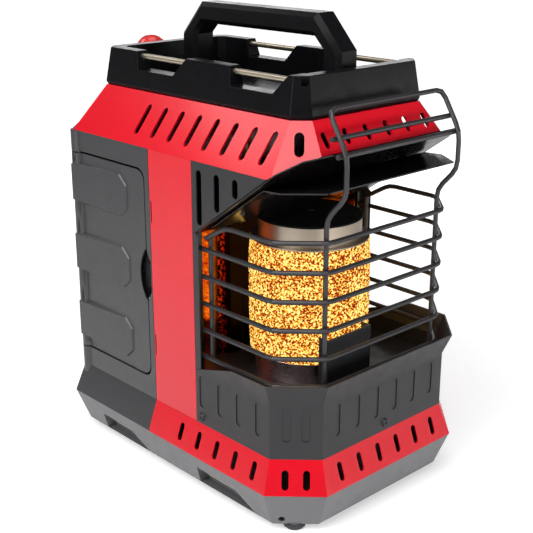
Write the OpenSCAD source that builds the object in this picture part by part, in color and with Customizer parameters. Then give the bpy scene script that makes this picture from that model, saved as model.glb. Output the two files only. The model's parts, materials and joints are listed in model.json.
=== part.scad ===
// Portable propane heater: a lantern-shaped housing with a round mesh burner
// behind a wire guard, a cylinder bay behind a side door and a carry handle.
// X is the width, the burner faces -Y, Z is up, the ground is at z = 0.

/* [Body] */
// Width of the body between its side panels
body_w = 223; // [219:1:227]
// Depth of the body from front to back
body_d = 336; // [332:1:340]
// Cut of the front corners, at 45 degrees
front_cut = 32; // [30:1:34]
// Cut of the rear corners, at 45 degrees
rear_cut = 26; // [25:0.5:27]
// Wall of the moulded housings
wall = 2.5; // [2.2:0.1:3]
// Thickness of the sheet metal
sheet = 1.2; // [1:0.1:1.4]

/* [Levels] */
// Underside of the base, above the ground
base_z = 6; // [5:0.5:7]
// Lower edge of the skirt
skirt_z = 43.5; // [42:0.5:45]
// Lower edge of the body walls
body_z = 73; // [72:0.5:74]
// Lower edge of the hood
hood_z = 317.5; // [316:0.5:319]
// Height of the hood
hood_h = 41.3; // [40.5:0.1:42]
// Height of the tray from its underside to the top of its rim
rim_h = 34.7; // [33.5:0.1:36]

/* [Base and skirt] */
// How far the skirt flares out at its lower edge
skirt_flare = 10.8; // [10:0.2:11.6]
// How far the base tapers in towards the ground
base_draft = 13.9; // [13:0.3:15]
// Step between the skirt and the base below it
base_step = 0.5; // [0.4:0.1:0.8]
// Width of the red side parts
stripe_w = 60; // [58:0.5:62]
// Diameter of the carry rods in the notches of the base
base_rod_d = 4.5; // [4.3:0.1:4.8]
// Radius of the rubber feet
foot_r = 10; // [9:0.5:11]

/* [Vents] */
// Width of the skirt slots
skirt_slot_w = 6; // [5:0.5:6.5]
// Distance between the skirt slots
skirt_pitch = 24.8; // [24.4:0.1:25]
// Width of the hood slots
hood_slot_w = 6.5; // [5.5:0.5:7]
// Distance between the side slots of the hood
hood_pitch = 23.6; // [23.2:0.1:24]
// Depth of the pressed grooves in the front shroud
groove = 0.8; // [0.6:0.1:0.9]

/* [Front] */
// Height where the shroud starts to flare
knee_z = 125; // [124:0.5:126]
// Top of the shroud lip
lip_z = 144.5; // [143:0.5:145.5]
// How far the shroud lip flares out
lip_flare = 8; // [7:0.5:8.5]
// Tilt of the cut that carries the reflectors
tilt = 35; // [34:0.5:36]
// Thickness of the front shroud
shroud_t = 1.6; // [1.5:0.1:1.8]

/* [Burner] */
// Radius of the glowing mesh
mesh_r = 54.5; // [53:0.5:55]
// Lower edge of the glowing mesh
mesh_z = 130; // [129:0.5:131]
// Height of the glowing mesh
mesh_h = 106; // [105:0.5:107]
// Radius of the bright ring above the mesh
ring_r = 47.5; // [46:0.5:48]
// Height of the bright ring
ring_h = 19; // [18:0.5:19.5]
// Distance of the burner axis behind the front
burner_in = 97; // [96:0.5:98]

/* [Guard] */
// Diameter of the guard wire
wire = 4.4; // [4.2:0.1:4.6]
// Distance between the guard hoops
hoop_pitch = 25.3; // [25:0.1:25.5]
// Distance of the top hoop below the hood
hoop_drop = 53.3; // [52.5:0.1:54]
// Distance of the hoops in from the sides of the body
hoop_in_x = 6.6; // [6.2:0.1:7.5]
// Distance of the hoops in from the front of the body
hoop_in_y = 3.8; // [3.5:0.1:4.2]
// Distance of the front uprights in from the sides of the body
upright_in = 41; // [40:0.5:42.5]

/* [Tank door] */
// Height of the lower edge of the door over that of the body walls
door_up = 22; // [21:0.5:23]
// Distance of the upper edge of the door below the hood
door_down = 22; // [21.5:0.5:23.5]
// Distance of the front edge of the door behind the red side part
door_in = 8.7; // [8.5:0.1:9.1]
// Gap round the door
door_gap = 1.3; // [1:0.1:1.5]
// Depth of the door face behind the side of the body
door_sink = 1.2; // [1:0.1:1.4]
// Rise of the raised pads over the door face, at the hinge
pad_rise = 4.5; // [4.2:0.1:4.6]
// Rise of the raised pads at their front end
pad_front_rise = 1.3; // [0.8:0.1:2]
// Diameter of the hinge pin
pin_d = 4; // [3.8:0.1:4.2]
// Radial running clearance of moving fits
fit = 0.05; // [0.03:0.01:0.08]

/* [Tray and handle] */
// Thickness of the tray rim
rim_t = 12; // [11:0.5:13]
// Diameter of the tie rods in the notches of the tray
tray_rod_d = 5.2; // [5:0.1:5.4]
// Overall width of the handle
handle_w = 26; // [24:1:28]
// Height of the handle over the underside of the tray
handle_h = 76.7; // [75:0.1:78.5]
// Middle of the handle, front to back
handle_y = -10.5; // [-12:0.5:-9]
// Distance of the ends of the handle in from the ends of the body
handle_in = 64; // [63:0.5:65]
// Thickness of the grip bar
grip_t = 19.5; // [18.5:0.5:20.5]

/* [Controls] */
// Middle of the control knob across the width
knob_x = -4; // [-6:0.5:-2]
// Distance of both controls in from the back of the body
control_in = 15.5; // [15:0.5:16]
// Radius of the control knob
knob_r = 14.8; // [14:0.1:15]
// Height of the knob over the console
knob_h = 21.5; // [20:0.5:23]
// Travel of the knob when it is pushed in
push = 3; // [2:0.5:3.5]
// Distance of the igniter button in from the right side of the body
button_in = 59.5; // [57.5:0.5:61.5]
// Radius of the igniter button
button_r = 9; // [8:0.5:10]

/* [Hidden] */
$fn = 48;
eps = 0.01;
half_w = body_w / 2;
half_d = body_d / 2;
tray_z = hood_z + hood_h;
rim_z = tray_z + rim_h;
hoop_z = hood_z - hoop_drop;
door_z = body_z + door_up;
door_top = hood_z - door_down;
handle_z = tray_z + handle_h;
handle_half = half_d - handle_in;
// the front parts keep their places to the burner, the rear ones to the back
burner_y = -half_d + burner_in;
stripe_front_y = burner_y + 32.5;
stripe_back_y = stripe_front_y + stripe_w;
part_y = stripe_back_y - 5.5;
door_y = stripe_back_y + door_in;
door_mid = (door_z + door_top) / 2;
control_y = half_d - control_in;
console_top = tray_z + 17.2;
knob_top = console_top + knob_h;
button_x = half_w - button_in;
tank_r = 50;
tank_x = -half_w + 21.5 + tank_r;
tank_y = (part_y + half_d) / 2;
// size of a block that is larger than the whole object
big = 600;

// ---- outlines -------------------------------------------------------------

// rectangle of half width w and half depth d with its front and rear corners
// cut at 45 degrees, seen from above, counter-clockwise
function cut_box(w, d, front, rear) = [
    [-w + front, -d], [w - front, -d], [w, -d + front], [w, d - rear],
    [w - rear, d], [-w + rear, d], [-w, d - rear], [-w, -d + front]
];

BODY = cut_box(half_w, half_d, front_cut, rear_cut);
hood_in_x = 32.6;
hood_in_y = 30.7;
hood_cut = 12.4;
hood_rear_cut = rear_cut + 3;
HOOD_FOOT = cut_box(half_w, half_d, front_cut, hood_rear_cut);
HOOD_TOP = cut_box(
    half_w - hood_in_x, half_d - hood_in_y, hood_cut, hood_rear_cut * hood_cut / front_cut
);
tray_draft = 4.9;

function normal(a, b) = let (e = (b - a) / norm(b - a)) [e.y, -e.x];

// outline p moved out by g on every side
function grow(p, g) = [
    for (i = [0 : len(p) - 1])
        let (
            before = p[(i + len(p) - 1) % len(p)],
            after = p[(i + 1) % len(p)],
            n1 = normal(before, p[i]),
            n2 = normal(p[i], after)
        )
        p[i] + g * (n1 + n2) / (1 + n1 * n2)
];

// solid between outline a at height za and outline b at height zb; caps splits
// a hollow outline into convex parts, as lists of its points
module loft(a, za, b, zb, caps = undef) {
    n = len(a);
    ends = is_undef(caps) ? [[for (i = [0 : n - 1]) i]] : caps;
    polyhedron(
        points = concat([for (p = a) [p.x, p.y, za]], [for (p = b) [p.x, p.y, zb]]),
        faces = concat(
            ends,
            [for (c = ends) [for (i = [len(c) - 1 : -1 : 0]) n + c[i]]],
            [for (i = [0 : n - 1]) [i, i + n, (i + 1) % n + n, (i + 1) % n]]
        )
    );
}

module prism(p, z0, z1) {
    translate([0, 0, z0]) linear_extrude(z1 - z0) polygon(p);
}

// everything between two y values
module slab_y(y0, y1) {
    translate([-big / 2, y0, -eps]) cube([big, y1 - y0, big]);
}

// an outline given as [y, z] points, made solid between x0 and x1
module across(p, x0, x1) {
    translate([x0, 0, 0]) rotate([90, 0, 90]) linear_extrude(x1 - x0) polygon(p);
}

// an upright slot with round ends, cut along the X axis
module slot_x(y, z0, z1, w, x0, x1) {
    translate([x0, y, 0]) rotate([90, 0, 90]) linear_extrude(x1 - x0) union() {
        translate([-w / 2, z0 + w / 2]) square([w, z1 - z0 - w]);
        for (z = [z0 + w / 2, z1 - w / 2]) translate([0, z]) circle(w / 2, $fn = 20);
    }
}

// an upright slot with round ends, cut along the Y axis at the front or back
module slot_y(x, z0, z1, w, y0, y1) {
    rotate([0, 0, 90]) slot_x(-x, z0, z1, w, y0, y1);
}

module mirror_x() {
    children();
    mirror([1, 0, 0]) children();
}

// middle of the left front corner; there X runs along the corner and Y inwards
corner_mid = [-half_w + front_cut / 2, -half_d + front_cut / 2];
module at_corner() {
    translate([corner_mid.x, corner_mid.y, 0]) rotate([0, 0, -45]) children();
}

function unit(v) = v / norm(v);

// points p with each inner corner replaced by a bend that starts r before it
function rounded(p, r) = [
    for (i = [0 : len(p) - 1])
        if (i == 0 || i == len(p) - 1) p[i]
        else let (a = p[i] + r * unit(p[i - 1] - p[i]), b = p[i] + r * unit(p[i + 1] - p[i]))
            for (t = [0 : 0.5 : 1]) (1 - t) ^ 2 * a + 2 * t * (1 - t) * p[i] + t ^ 2 * b
];

// round bar along the points p, mitred at every point
module bar(p, d, sides = 10) {
    n = len(p);
    dir = [for (i = [0 : n - 2]) unit(p[i + 1] - p[i])];
    side = unit(cross(dir[0], abs(dir[0].z) < 0.9 ? [0, 0, 1] : [1, 0, 0]));
    lift = cross(dir[0], side);
    first = [
        for (k = [0 : sides - 1])
            let (a = 360 * (k + 0.5) / sides) p[0] + d / 2 * (cos(a) * side + sin(a) * lift)
    ];
    // each ring is the one before, slid along the bar to the mitre plane at point i
    rings = [
        for (
            i = 0, ring = first;
            i < n;
            i = i + 1,
            m = i < n - 1 ? dir[i - 1] + dir[min(i, n - 2)] : dir[n - 2],
            ring = i < n ? [
                for (q = ring) q + dir[i - 1] * (((p[i] - q) * m) / (dir[i - 1] * m))
            ] : ring
        ) ring
    ];
    polyhedron(
        points = [for (ring = rings) each ring],
        faces = concat(
            [[for (k = [sides - 1 : -1 : 0]) k]],
            [[for (k = [0 : sides - 1]) (n - 1) * sides + k]],
            [
                for (i = [0 : n - 2], k = [0 : sides - 1])
                    let (k2 = (k + 1) % sides)
                    [i * sides + k, i * sides + k2, (i + 1) * sides + k2, (i + 1) * sides + k]
            ]
        )
    );
}

// ---- base -----------------------------------------------------------------

base_top = skirt_flare - base_step;
base_low = base_top - base_draft;
base_floor = 3;
base_edge = 4;
base_slope = base_draft / (skirt_z - base_z);
notch_depth = 15;
notch_top = 28.5;
// the two notches in each side: rear upper corner, length
BASE_NOTCHES = [[half_d - 61.5, 45], [-half_d + 125, 51]];
base_rod_z = base_z + 12.2;
base_rod_x = half_w + base_low + (base_rod_z - base_z) * base_slope - 9.8;

module base_solid() {
    chamfer_in = base_low + base_slope * base_edge - base_edge;
    loft(
        grow(BODY, chamfer_in), base_z,
        grow(BODY, base_low + base_slope * base_edge), base_z + base_edge
    );
    loft(
        grow(BODY, base_low + base_slope * base_edge), base_z + base_edge,
        grow(BODY, base_top), skirt_z
    );
}

// [y, z] outline of a notch down to height z, grown by g
function base_notch(n, g, z) = let (t = (notch_top - z) / 29) [
    [n[0] + 5 * t + g, z], [n[0] + g, notch_top + g],
    [n[0] - n[1] - g, notch_top + g], [n[0] - n[1] - 35 * t - g, z]
];

module base_rod(n) {
    translate([-base_rod_x, n[0] + 5, base_rod_z])
        rotate([90, 0, 0]) cylinder(d = base_rod_d, h = n[1] + 22);
}

foot_x = half_w - 25;
foot_y = half_d - 26;
FEET = [for (sx = [-1, 1], sy = [-1, 1]) [sx * foot_x, sy * foot_y]];

module base_tray() color("dimgray") difference() {
    union() {
        difference() {
            base_solid();
            loft(
                grow(BODY, base_low - wall - 1.5), base_z + base_floor,
                grow(BODY, base_top - wall), skirt_z + 1
            );
        }
        intersection() {
            base_solid();
            mirror_x() for (n = BASE_NOTCHES)
                across(base_notch(n, wall, base_z), -big / 2, -half_w + notch_depth);
        }
        for (p = FEET) translate([p.x, p.y, base_z]) cylinder(r = 9, h = 12);
    }
    mirror_x() for (n = BASE_NOTCHES) {
        across(base_notch(n, 0, base_z + base_floor), -big / 2, -half_w + notch_depth - wall);
        base_rod(n);
    }
    for (p = FEET) translate([p.x, p.y, 0]) {
        translate([0, 0, base_z - 1]) cylinder(r = 3, h = 4);
        translate([0, 0, base_z - 1]) cylinder(r = 2, h = 14);
    }
    // drain holes low in the front corners
    mirror_x() at_corner() translate([-12, 10, base_z + 8]) rotate([90, 0, 0]) cylinder(r = 3, h = 14);
}

module rubber_feet() color("black") for (p = FEET) translate([p.x, p.y, 0]) difference() {
    union() {
        rotate_extrude() polygon([
            [0, 0], [foot_r - 2, 0], [foot_r, 2], [foot_r, base_z - eps], [0, base_z - eps]
        ]);
        translate([0, 0, base_z - eps]) cylinder(r = 2.9, h = 3);
    }
    translate([0, 0, -1]) cylinder(r = 2, h = 12);
    translate([0, 0, -1]) cylinder(r = 4.2, h = 3);
}

// screws that hold the feet, one per foot
module foot_screws() color("silver") for (p = FEET) translate([p.x, p.y, 0]) {
    translate([0, 0, 0.8]) cylinder(r = 4, h = 1.2);
    translate([0, 0, 1.9]) cylinder(r = 1.9, h = 13);
}

module base_rods() color("tan") mirror_x() for (n = BASE_NOTCHES) base_rod(n);

// ring on the floor of the cylinder bay that keeps the gas cylinder upright
module cylinder_cradle() color("black") translate([tank_x, tank_y, base_z + base_floor]) {
    difference() {
        cylinder(r = tank_r + 4, h = 28, $fn = 64);
        translate([0, 0, 3]) cylinder(r = tank_r + 1, h = 40, $fn = 64);
        translate([0, 0, -1]) cylinder(r = tank_r - 18, h = 40, $fn = 64);
    }
}

// ---- skirt ----------------------------------------------------------------

module skirt_shell(t) {
    difference() {
        loft(grow(BODY, skirt_flare), skirt_z, BODY, body_z);
        loft(grow(BODY, skirt_flare - t), skirt_z - eps, grow(BODY, -t), body_z + eps);
    }
}

side_slot_y = burner_y + 49.1;
module skirt_slots() {
    z0 = skirt_z + 6.1;
    z1 = body_z - 7.2;
    mirror_x() for (i = [0 : 4])
        slot_x(side_slot_y - i * skirt_pitch, z0, z1, skirt_slot_w, -big / 2, -half_w + 5);
    for (i = [-2.5 : 2.5])
        slot_y(i * skirt_pitch, z0, z1, skirt_slot_w, -big / 2, -half_d + 5);
    mirror_x() at_corner() for (x = [-9.2, 9.2])
        slot_y(x, z0 - 1.5, z1 - 1.5, skirt_slot_w, -40, 8);
}

module front_skirt() color("red") difference() {
    skirt_shell(sheet);
    slab_y(stripe_back_y, big);
    skirt_slots();
}

module rear_skirt() color("dimgray") difference() {
    skirt_shell(wall);
    slab_y(-big, stripe_back_y + 0.3);
}

// ---- rear housing and door ------------------------------------------------

pin_r = pin_d / 2;
// the barrel of the hinge stands out at the rear end of the left side
barrel_r = 7.5;
HINGE = [-half_w + barrel_r - 3, half_d - rear_cut - 4.6];
// radius kept free for the ends of the pads as the door swings
swing_r = barrel_r + 2.1;
door_r = 10;
PAD_Z = [[door_top - 50, door_top - 9], [door_mid - 20.25, door_mid + 20.75], [door_z + 8.5, door_z + 50]];
pad_front_y = door_y + 26.8;
pad_back_y = HINGE.y + 4.2;
housing_side_y = stripe_back_y + 0.3;
// at the front the door and its opening each draw back this far, and over the door the gap is wider
edge_back = 0.7;
top_gap = door_gap + 1.1;

// side outline of the door or of its opening, grown by g to the front, down and up
module door_outline(g, x0, x1) {
    y0 = door_y - g[0];
    z0 = door_z - g[1];
    z1 = door_top + g[2];
    translate([x0, 0, 0]) rotate([90, 0, 90]) linear_extrude(x1 - x0) union() {
        translate([y0 + door_r, z0]) square([big / 2, z1 - z0]);
        translate([y0, z0 + door_r]) square([big / 2, z1 - z0 - 2 * door_r]);
        for (z = [z0 + door_r, z1 - door_r]) translate([y0 + door_r, z]) circle(door_r, $fn = 32);
    }
}

// [y, z] outline of one raised pad, moved in by i
function pad_outline(z, i) = [
    [pad_front_y + i, z[0] + 9 + i * 0.4], [pad_front_y + 9 + i * 0.4, z[0] + i],
    [pad_back_y, z[0] + i], [pad_back_y, z[1] - i],
    [pad_front_y + 10 + i * 0.4, z[1] - i], [pad_front_y + i, z[1] - 10 - i * 0.4]
];

// [x, y] outline of the wedge that the pads form, sunk by s below the side of the body
pad_lean = (pad_rise - pad_front_rise) / (pad_back_y - pad_front_y);
function pad_wedge(s) = let (x = -half_w + s) [
    [x - pad_front_rise + pad_lean, pad_front_y - 1], [x - pad_rise - pad_lean, pad_back_y + 1],
    [x + 10, pad_back_y + 1], [x + 10, pad_front_y - 1]
];

// raised pads on the left side, sunk by s below the side of the body
module pads(s) intersection() {
    bevel = 3;
    union() for (z = PAD_Z) {
        translate([-half_w + s, 0, 0]) rotate([90, 0, -90]) mirror([1, 0, 0])
            loft(pad_outline(z, 0), -6, pad_outline(z, 0), 0);
        translate([-half_w + s, 0, 0]) rotate([90, 0, -90]) mirror([1, 0, 0])
            loft(pad_outline(z, 0), -eps, pad_outline(z, bevel), pad_rise);
    }
    translate([0, 0, body_z]) linear_extrude(hood_z - body_z) polygon(pad_wedge(s));
}

// finger recess on the front edge of the door: an arc on the door, a notch on the housing
recess_half = 27;
recess_deep = 10.3;
recess_mid = door_mid + 1.5;
recess_r = (pow(recess_half, 2) + pow(recess_deep, 2)) / (2 * recess_deep);
// [y, z] points on the arc, moved in by i, from the angle a at its top down to -a
function recess_arc(i, a) = [
    for (k = [6 : -1 : -6]) [
        door_y + recess_deep - recess_r + (recess_r - i) * cos(a * k / 6),
        recess_mid + (recess_r - i) * sin(a * k / 6)
    ]
];
recess_angle = asin(recess_half / recess_r);
RECESS = concat(
    recess_arc(0, recess_angle),
    [for (z = [-13.3, 15.7]) [door_y - 7.2, door_mid + z]]
);

module rear_housing() color("dimgray") difference() {
    union() {
        difference() {
            prism(BODY, body_z, hood_z);
            prism(grow(BODY, -wall), body_z - 1, hood_z + 1);
            slab_y(-big, housing_side_y);
            door_opening();
            // the closed right side is sunk like the door
            mirror([1, 0, 0]) door_side([0, 0, 0], -half_w + door_sink);
            rear_vents();
        }
        mirror([1, 0, 0]) pads(door_sink);
        barrel_ends();
    }
    translate([HINGE.x, HINGE.y, 0]) cylinder(r = pin_r, h = big);
    across(RECESS, -big / 2, -half_w + 3);
}

// the side outline, ended at the axis of the hinge
module door_side(g, x1) difference() {
    door_outline(g, -big / 2, x1);
    slab_y(HINGE.y, big);
}

module door_opening() {
    door_side([door_gap + edge_back, door_gap, top_gap], -half_w + 12);
    barrel(swing_r, door_z - door_gap, door_top + door_gap);
}

module barrel(r, z0, z1) {
    translate([HINGE.x, HINGE.y, z0]) cylinder(r = r, h = z1 - z0);
}

// fixed ends of the barrel, which stand on the skirt and end under the hood
module barrel_ends() difference() {
    union() {
        barrel(barrel_r, skirt_z, door_z - door_gap);
        barrel(barrel_r, door_top + door_gap, hood_z);
    }
    loft(grow(BODY, skirt_flare), skirt_z - eps, BODY, body_z);
    prism(grow(BODY, -wall), hood_z - sheet, hood_z + 1);
}

module rear_vents() {
    for (z = [body_z + 37 : 14 : body_z + 93], x = [-30, 40])
        translate([x - 25, half_d - 10, z]) cube([50, 20, 5]);
}

module door_skin() {
    difference() {
        prism(grow(BODY, -door_sink), door_z, door_top);
        prism(grow(BODY, -door_sink - wall), door_z - 1, door_top + 1);
        slab_y(-big, door_y - 5);
        slab_y(HINGE.y, big);
        translate([-half_w + 40, -big / 2, 0]) cube([big, big, big]);
    }
}

module tank_door() color("dimgray") difference() {
    union() {
        intersection() {
            door_skin();
            door_outline([-edge_back, 0, 0], -big / 2, 0);
        }
        pads(door_sink);
        barrel(barrel_r, door_z, door_top);
    }
    translate([HINGE.x, HINGE.y, door_z - 1])
        cylinder(r = pin_r + fit, h = door_top - door_z + 2);
    across(RECESS, -big / 2, -half_w + 20);
}

module hinge_pin() color("silver")
    translate([HINGE.x, HINGE.y, door_z - 12]) cylinder(r = pin_r, h = door_top - door_z + 24);

// share of the recess that the lip of the latch follows, and how far it stands out of the door
lip_share = 0.86;
lip_out = 0.6;
// tongue behind the front edge of the door, with a curved finger lip
module door_latch() color("black") {
    translate([-half_w + door_sink + wall, door_y, door_mid]) {
        translate([0, 0.3, -21.3]) cube([2, 26, 44]);
        translate([0, -4.7, -10.3]) cube([2, 6, 23]);
    }
    outer = recess_arc(0.2, recess_angle * lip_share);
    inner = recess_arc(1.5, recess_angle * lip_share);
    door_x = -half_w + door_sink;
    across(concat(outer, [for (k = [12 : -1 : 0]) inner[k]]), door_x - lip_out, door_x + wall + 1.8);
}

// cup in the housing edge that the tongue of the door drops into
module latch_cup() color("black") {
    behind_door = door_sink + 0.5;
    translate([-half_w + wall, stripe_back_y + 1, door_mid - 31.3]) difference() {
        union() {
            cube([12, 7, 66]);
            translate([behind_door, 0, 0]) cube([12 - behind_door, 20, 66]);
        }
        translate([-1, 1.5, 3]) cube([10.5, 30, 60]);
    }
}

// ---- side panels and cheeks -----------------------------------------------

flange = 11;
cut_y = stripe_front_y - 3.5;
cut_z = hood_z - 63;

// everything under the sloping reflector plane, lowered by d
module below_plane(d) {
    translate([0, cut_y, cut_z - d]) rotate([-tilt, 0, 0])
        translate([-big / 2, -big, -big]) cube([big, 2 * big, big]);
}

function plane_z(y) = cut_z + (cut_y - y) * tan(tilt);

// lower ends of the tab openings in the back edge of the side panel
TAB_Z = [body_z + 48, hood_z - 67.5];
module side_panel() {
    x0 = -half_w;
    y0 = stripe_front_y;
    difference() {
        translate([x0, y0, body_z]) cube([sheet, stripe_back_y - y0, hood_z - body_z]);
        for (z = TAB_Z) translate([x0 - 1, stripe_back_y - 2.6, z]) cube([5, 1.4, 20]);
    }
    for (y = [y0, stripe_back_y - sheet])
        translate([x0, y, body_z]) cube([flange, sheet, hood_z - body_z]);
}

module side_panel_left() color("red") side_panel();
module side_panel_right() color("red") mirror([1, 0, 0]) side_panel();

// upper edge of the shroud where its lip slopes down towards the back
function lip_end(y) = knee_z - 0.4 + (stripe_front_y - y) * 0.34;

cheek_back_y = stripe_front_y - 0.4;
strip_front_y = stripe_front_y - 7.5;
cheek_front_y = -half_d + 37;
// slots of the cheek, each from above the reflectors up to below the hood
CHEEK_SLOTS = [for (i = [0 : 2]) stripe_front_y - 10 - i * 23];
module cheek() difference() {
    across(
        [
            [cheek_back_y, hood_z], [cheek_back_y, lip_end(cheek_back_y) + 0.3],
            [strip_front_y, lip_end(strip_front_y) + 0.3], [strip_front_y, cut_z - 3],
            [cut_y, cut_z], [cheek_front_y, plane_z(cheek_front_y)], [cheek_front_y, hood_z]
        ],
        -half_w, -half_w + sheet
    );
    for (y = CHEEK_SLOTS) slot_x(y, plane_z(y) + 3, hood_z - 7, 7, -half_w - 1, -half_w + 3);
}

module cheek_left() color("dimgray") cheek();
module cheek_right() color("dimgray") mirror([1, 0, 0]) cheek();

// ---- front shroud ---------------------------------------------------------

groove_z0 = body_z + 16.5;
groove_z1 = knee_z - 4.5;
module shroud_grooves() {
    mirror_x() for (i = [1 : 4])
        slot_x(side_slot_y - 0.5 - i * skirt_pitch, groove_z0, groove_z1, 7, -half_w - 1, -half_w + groove);
    for (i = [-2.5 : 2.5])
        slot_y(i * skirt_pitch, groove_z0, groove_z1, 7, -half_d - 1, -half_d + groove);
    mirror_x() at_corner() for (x = [-8.3, 8.3])
        slot_y(x, groove_z0, groove_z1, 7.6, -1, groove);
}

screw_y = stripe_front_y - 8;
screw_z = body_z + 7;
module front_shroud() color("dimgray") difference() {
    union() {
        difference() {
            prism(BODY, body_z, knee_z);
            prism(grow(BODY, -shroud_t), body_z - 1, knee_z + 1);
        }
        difference() {
            loft(BODY, knee_z - eps, grow(BODY, lip_flare), lip_z);
            loft(grow(BODY, -shroud_t), knee_z - 2 * eps, grow(BODY, lip_flare - shroud_t), lip_z + eps);
        }
    }
    slab_y(cheek_back_y, big);
    lip_y = stripe_front_y - 69.5;
    across(
        [[lip_y, lip_end(lip_y)], [part_y, lip_end(part_y)], [part_y, big], [lip_y, big]],
        -big / 2, big / 2
    );
    shroud_grooves();
    for (m = [0, 1]) mirror([m, 0, 0]) translate([-half_w - 1, screw_y, screw_z])
        rotate([0, 90, 0]) cylinder(r = 2, h = 5);
    translate([0, -half_d + 4, screw_z + 1]) rotate([90, 0, 0]) cylinder(r = 2, h = 5);
}

// pan head with a cross recess, facing -X
module pan_screw() rotate([0, -90, 0]) difference() {
    union() {
        cylinder(r1 = 4.2, r2 = 3, h = 2.2);
        translate([0, 0, -6]) cylinder(r = 1.9, h = 6 + eps);
    }
    for (a = [0, 90]) rotate([0, 0, a]) translate([-2.2, -0.4, 1.2]) cube([4.4, 0.8, 2]);
}

module shroud_screws() color("black") {
    mirror_x() translate([-half_w, screw_y, screw_z]) pan_screw();
    translate([0, -half_d, screw_z + 1]) rotate([0, 0, 90]) pan_screw();
}

// ---- inside of the body ---------------------------------------------------

// wall and ceiling of the cylinder bay, folded from one sheet
module partition() color("gray") difference() {
    inner = half_w - sheet;
    union() {
        translate([-inner, part_y, body_z]) cube([2 * inner, sheet, hood_z - body_z]);
        translate([-inner + flange, part_y, hood_z - sheet]) cube([2 * (inner - flange), 8, sheet]);
        intersection() {
            prism(grow(BODY, -wall), hood_z - sheet, hood_z);
            slab_y(housing_side_y, half_d);
        }
    }
    translate([knob_x, control_y, hood_z - 5]) cylinder(r = 7, h = 10);
}

pan_z = knee_z - 19;
module burner_pan() color("black") difference() {
    intersection() {
        prism(grow(BODY, -shroud_t), pan_z, pan_z + sheet);
        slab_y(-big, part_y);
    }
    mirror_x() translate([-half_w, cheek_back_y - 8, pan_z - 1]) cube([flange + 1, 80, 5]);
}

// plan of the polished sheet behind the burner, left half
REFLECTOR = [
    for (p = [
        [12.5 - half_w, 2.5], [15.5 - half_w, 14.5], [-64, 42.5], [-43, 42.5],
        [-38.5, 34.5], [-24, 34.5], [-20, 37.5], [0, 37.5]
    ]) [p.x, stripe_front_y + p.y]
];
reflector_top = hood_z - 21.5;
module rear_reflector() color("dimgray") {
    n = len(REFLECTOR);
    front = concat(REFLECTOR, [for (i = [n - 2 : -1 : 0]) [-REFLECTOR[i].x, REFLECTOR[i].y]]);
    back = [
        for (i = [len(front) - 1 : -1 : 0]) let (
            n1 = normal(front[max(i - 1, 0)], front[max(i, 1)]),
            n2 = normal(front[min(i, 2 * n - 3)], front[min(i + 1, 2 * n - 2)])
        )
        front[i] - (n1 + n2) / (1 + n1 * n2)
    ];
    difference() {
        prism(concat(front, back), pan_z + sheet, reflector_top);
        translate([knob_x - 5, part_y - 26, pan_z]) cube([10, 20, 16]);
    }
}

// sheet that follows a run of [y, z] points across the width 2 * x
module folded_sheet(pts, x) {
    for (i = [0 : len(pts) - 2])
        across([pts[i], pts[i + 1], pts[i + 1] + [0, sheet], pts[i] + [0, sheet]], -x, x);
}

// plan of a sheet with cut front corners: half width, front, size of the cut, back
function sheet_plan(x, front, cut, back) = [
    [cut.x - x, front], [x - cut.x, front], [x, front + cut.y],
    [x, back], [-x, back], [-x, front + cut.y]
];

upper_front_y = -half_d - 2.9;
upper_front_z = hood_z + 20.5;
upper_fold_y = -half_d + 13;
module upper_reflector() color("black") intersection() {
    folded_sheet(
        [
            [cut_y, plane_z(cut_y) - 1.5], [upper_fold_y, plane_z(upper_fold_y) - 1.5],
            [upper_front_y, upper_front_z - sheet / 2]
        ],
        half_w - sheet
    );
    difference() {
        prism(sheet_plan(half_w - sheet, upper_front_y, [32.3, 31.2], cut_y + 2), 0, big);
        translate([0, burner_y, 0]) cylinder(r = mesh_r + 6, h = ring_top + 17, $fn = 64);
    }
}

lower_z = hood_z - 12;
lower_x = half_w - 9.5;
lower_front_y = -half_d - 0.5;
lower_fold_y = -half_d + 50;
lower_back_y = cut_y - 8;
lower_drop = 4.2;
module lower_reflector() color("black") difference() {
    union() {
        intersection() {
            folded_sheet(
                [
                    [lower_back_y, plane_z(lower_back_y) - lower_drop],
                    [lower_fold_y, plane_z(lower_fold_y) - lower_drop], [lower_front_y, lower_z + 1]
                ],
                lower_x
            );
            prism(sheet_plan(lower_x, lower_front_y, [22, 30.5], lower_back_y), 0, big);
        }
        // spacers under the upper reflector
        intersection() {
            mirror_x() for (y = [burner_y - 1, burner_y - 37])
                translate([18 - lower_x, y, plane_z(y) - lower_drop + 0.5]) cylinder(r = 3.5, h = 12);
            below_plane(1.5);
        }
    }
    translate([0, burner_y, 0]) cylinder(r = mesh_r + 4, h = ring_top + 7, $fn = 64);
}

// ---- burner ---------------------------------------------------------------

mesh_top = mesh_z + mesh_h;
ring_top = mesh_top + ring_h;
module at_burner() translate([0, burner_y, 0]) children();

// drum that feeds the gas and air mix to the mesh
module burner_plenum() color("gray") at_burner() {
    difference() {
        translate([0, 0, pan_z + sheet]) cylinder(r = 50, h = mesh_z - 3 - pan_z - sheet, $fn = 72);
        translate([0, 0, pan_z + 3]) cylinder(r = 48, h = mesh_z - 8 - pan_z, $fn = 72);
        translate([knob_x, 30, pan_z + 9]) rotate([-90, 0, 0]) cylinder(r = 4, h = 30);
    }
    translate([0, 0, mesh_z - 3]) difference() {
        cylinder(r = mesh_r + 1, h = 3, $fn = 72);
        translate([0, 0, -1]) cylinder(r = 24, h = 5, $fn = 48);
    }
}

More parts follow.
